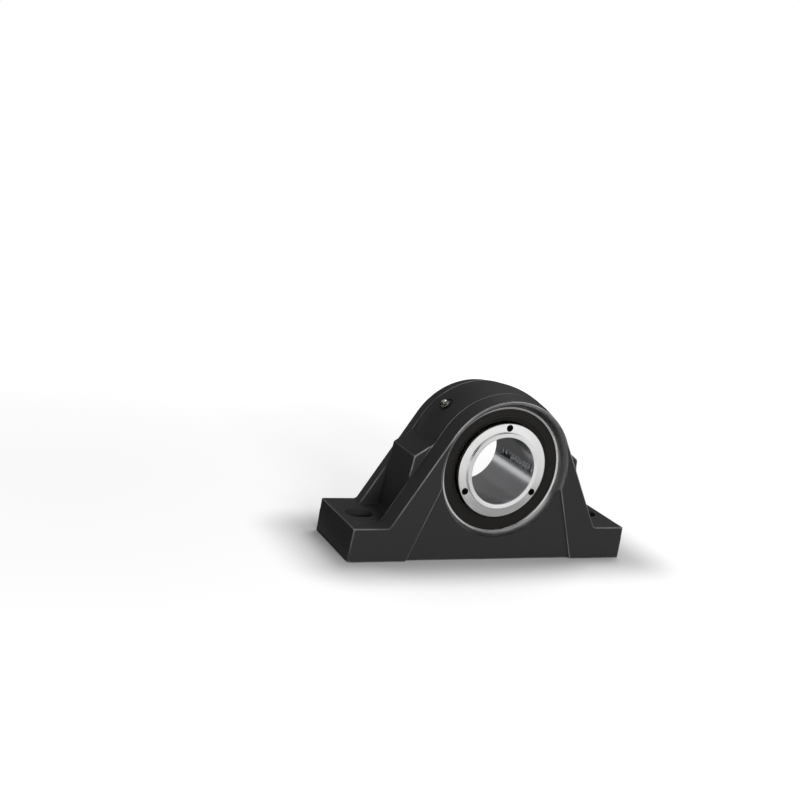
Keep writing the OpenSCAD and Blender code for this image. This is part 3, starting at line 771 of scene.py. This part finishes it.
def makeNipple():
    c = nipple
    hole, shankTop = c["hole"], c["seat"] + c["overlap"]
    thread, bottom = c["thread"]
    neck, neckTop = c["neck"]
    head, headLow, headHigh = c["head"]
    tip, top = c["tip"]
    bore, boreLow, boreHigh = c["bore"]
    corners = [
        (hole, bottom, 0), (thread, bottom, 0.3), (thread, shankTop, 0), (neck, shankTop, 0),
        (neck, neckTop, 0.1), (head, headLow, 0.2), (head, headHigh, 0.2), (tip, top, 0.25), (hole, top, 0.1),
        (hole, boreHigh + bore - hole, 0), (bore, boreHigh, 0), (bore, boreLow, 0), (hole, boreLow, 0),
    ]
    piece = lathe("greaseNipple", eased(corners), 64, True, nippleFrame)
    hexagon = rod("hexagon", hexagonRadius(c["hexWidth"]), c["seat"], c["hexTop"], 6)
    bevel = hexagon.modifiers.new("bevel", "BEVEL")
    bevel.width = c["hexBevel"] * mm
    bevel.segments = 2
    applyAll(hexagon)
    cut(hexagon, rod("core", (neck + bore) / 2, c["seat"] - past, c["hexTop"] + past))
    cut(piece, moved(hexagon, nippleFrame), "UNION")
    wear(piece, finishes["nippleSteel"])
    smoothShade(piece)
    dress(piece, "block", "nipple_body")


makeCollar()
makeGrubScrews()
makeSleeve()
makeSeal("front_seal", -1)
makeSeal("rear_seal", 1)
makeNipple()
print("collar, screws, sleeve, seals and nipple made")

nodeFinishes = {  # CAD pieces that keep their shape; the rollers are the others
    "outer_ring": "ringSteel",
    "inner_ring": "ringSteel",
    "front_snap_ring": "springSteel",
    "rear_snap_ring": "springSteel",
    "nipple_spring": "springSteel",
    "nipple_ball": "rollerSteel",
    "guide_ring": "cageSteel",
    "front_cage": "cageSteel",
    "rear_cage": "cageSteel",
}
for name, node in nodes.items():
    if name not in dressed:
        wear(node, finishes[nodeFinishes.get(name, "rollerSteel")])
print("nodes finished:", len(nodes) - len(dressed))

studio = {
    "cameraPlace": (-0.4861, -0.8091, 0.3316),  # metres, as all places and sizes of the studio
    "azimuth": 26.42,  # degrees to the left of the shaft's front end
    "elevation": 13.25,
    "roll": 9.04,
    "lens": 54.586,
    "sensorWidth": 36,
    "clipStart": 0.01,
    "floorSize": 30.0,
    "floorColour": (0.60, 0.60, 0.60),
    "paperGlow": 0.48,  # on top of the lit floor, fades in over this far from the base's edge, leaving a painted shadow on the floor round the base
    "paperReach": (0.0, 0.060),
    "farGlow": 0.42,  # and some more far away, where the lamps don't reach
    "farReach": (0.10, 1.1),
    "skyFill": 0.31,
    "lamps": {  # place, width, depth, watts, and whether polished metal mirrors it
        "topBox": ((0.48, 0.38, 1.1), 0.7, 0.7, 6.4, True),
        "keyBox": ((-0.95, -0.55, 0.85), 0.45, 0.45, 0.35, True),
        "frontBox": ((-0.12, -1.25, 0.40), 0.6, 0.3, 14.5, False),
    },
    # Cards that only reflections see: middle, width, height, lean from level, turn in degrees, and shade
    "cards": (
        # grey card on the floor just in front of the base: painted floor shadow, seen only in reflections
        ((0.20, -0.1275, 0.004), 0.70, 0.125, 0, 0, 0.40),
        ((0.20, -0.845, 0.004), 2.40, 1.31, 0, 0, 0.90),
        ((0, -2.4, 0.96), 5.0, 1.1, 90, 0, 0.02),
        ((-0.70, 1.1, 0.80), 1.20, 1.10, 90, 0, 0.30),
        ((0.95, 1.1, 0.95), 2.10, 1.88, 90, 0, 0.22),
        # dark cards on the floor behind and to the left: painted shade of the floor there, seen only in
        # reflections
        ((0.4, 0.63, 0.004), 2.4, 1.14, 0, 0, 0.15),
        ((-0.915, 0.45, 0.004), 1.57, 1.2, 0, 0, 0.02),
        ((-1.6, -0.3, 0.40), 2.2, 0.7, 90, 90, 0.02),
    ),
}


def makeCamera():
    s = studio
    camera = newObject("camera", bpy.data.cameras.new("camera"))
    camera.data.lens = s["lens"]
    camera.data.sensor_width = s["sensorWidth"]
    camera.data.clip_start = s["clipStart"]
    look = Euler((math.radians(90 - s["elevation"]), 0, -math.radians(s["azimuth"])))
    roll = Matrix.Rotation(math.radians(s["roll"]), 4, "Z")
    camera.matrix_world = Matrix.Translation(s["cameraPlace"]) @ look.to_matrix().to_4x4() @ roll
    bpy.context.scene.camera = camera


def seenByEye(tree):
    # 1 for what the camera, mirrors and glass see, and 0 for the light that falls on the piece
    rays = addNode(tree, "ShaderNodeLightPath").outputs
    seen = calculate(tree, "MAXIMUM", rays["Is Camera Ray"], rays["Is Glossy Ray"])
    return calculate(tree, "MAXIMUM", seen, rays["Is Transmission Ray"])


def flatSheet(name, middle, width, depth, lean=0, turn=0):
    mesh = bpy.data.meshes.new(name)
    x, y = width / 2, depth / 2
    mesh.from_pydata([(-x, -y, 0), (x, -y, 0), (x, y, 0), (-x, y, 0)], [], [(0, 1, 2, 3)])
    turned = Matrix.Rotation(math.radians(turn), 4, "Z") @ Matrix.Rotation(math.radians(lean), 4, "X")
    mesh.transform(Matrix.Translation(middle) @ turned)
    sheet = newObject(name, mesh)
    return sheet


def makeFloor():
    s = studio
    floor = flatSheet("floor", (0, 0, 0), s["floorSize"], s["floorSize"])
    material, tree, shader = finish("paper", s["floorColour"], 0.0, 0.9, Specular_IOR_Level=0.0)
    away = calculateVector(tree, "ABSOLUTE", objectPlace(tree))
    away = calculateVector(tree, "SUBTRACT", away, (*cadBox[1][:2], 0))
    away = calculateVector(tree, "MAXIMUM", away)
    distance = calculateVector(tree, "LENGTH", away)  # from the base's outline
    # No glow next to the base, rising away from it: painted shadow on the floor round the base
    glowPastPaintedShadow = ramp(tree, distance, 0.0, s["paperGlow"], *s["paperReach"], "SMOOTHSTEP")
    faraway = ramp(tree, distance, 0.0, s["farGlow"], *s["farReach"], "SMOOTHSTEP")
    glow = calculate(tree, "MULTIPLY", seenByEye(tree), calculate(tree, "ADD", glowPastPaintedShadow, faraway))
    tree.links.new(glow, shader.inputs["Emission Strength"])
    shader.inputs["Emission Color"].default_value = (1, 1, 1, 1)
    wear(floor, material)


def makeCards():
    papers = {}
    for *sheet, shade in studio["cards"]:
        if shade not in papers:
            papers[shade] = finish("card", (shade, shade, shade), 0.0, 1.0, Specular_IOR_Level=0.0)[0]
        card = flatSheet("card", *sheet)
        wear(card, papers[shade])
        card.visible_camera = False
        card.visible_diffuse = False
        card.visible_shadow = False
        card.visible_transmission = False


def makeSky():
    world = bpy.data.worlds.new("studioSky")
    bpy.context.scene.world = world
    world.use_nodes = True
    tree = world.node_tree
    shader = tree.nodes["Background"]
    shader.inputs["Color"].default_value = (1, 1, 1, 1)
    level = ramp(tree, seenByEye(tree), studio["skyFill"], 1.0, 0, 1)
    tree.links.new(level, shader.inputs["Strength"])


def makeLamp(name, middle, width, depth, watts, mirrored):
    data = bpy.data.lights.new(name, "AREA")
    data.shape = "RECTANGLE"
    data.size = width
    data.size_y = depth
    data.energy = watts
    lamp = newObject(name, data)
    lamp.location = middle
    lamp.visible_glossy = mirrored
    aim = Vector((0, 0, centreHeight * mm)) - Vector(middle)
    lamp.rotation_euler = aim.to_track_quat("-Z", "Y").to_euler()


makeCamera()
makeFloor()
makeCards()
makeSky()
for name, lamp in studio["lamps"].items():
    makeLamp(name, *lamp)
bpy.context.scene.view_settings.view_transform = "Standard"
print("studio made")
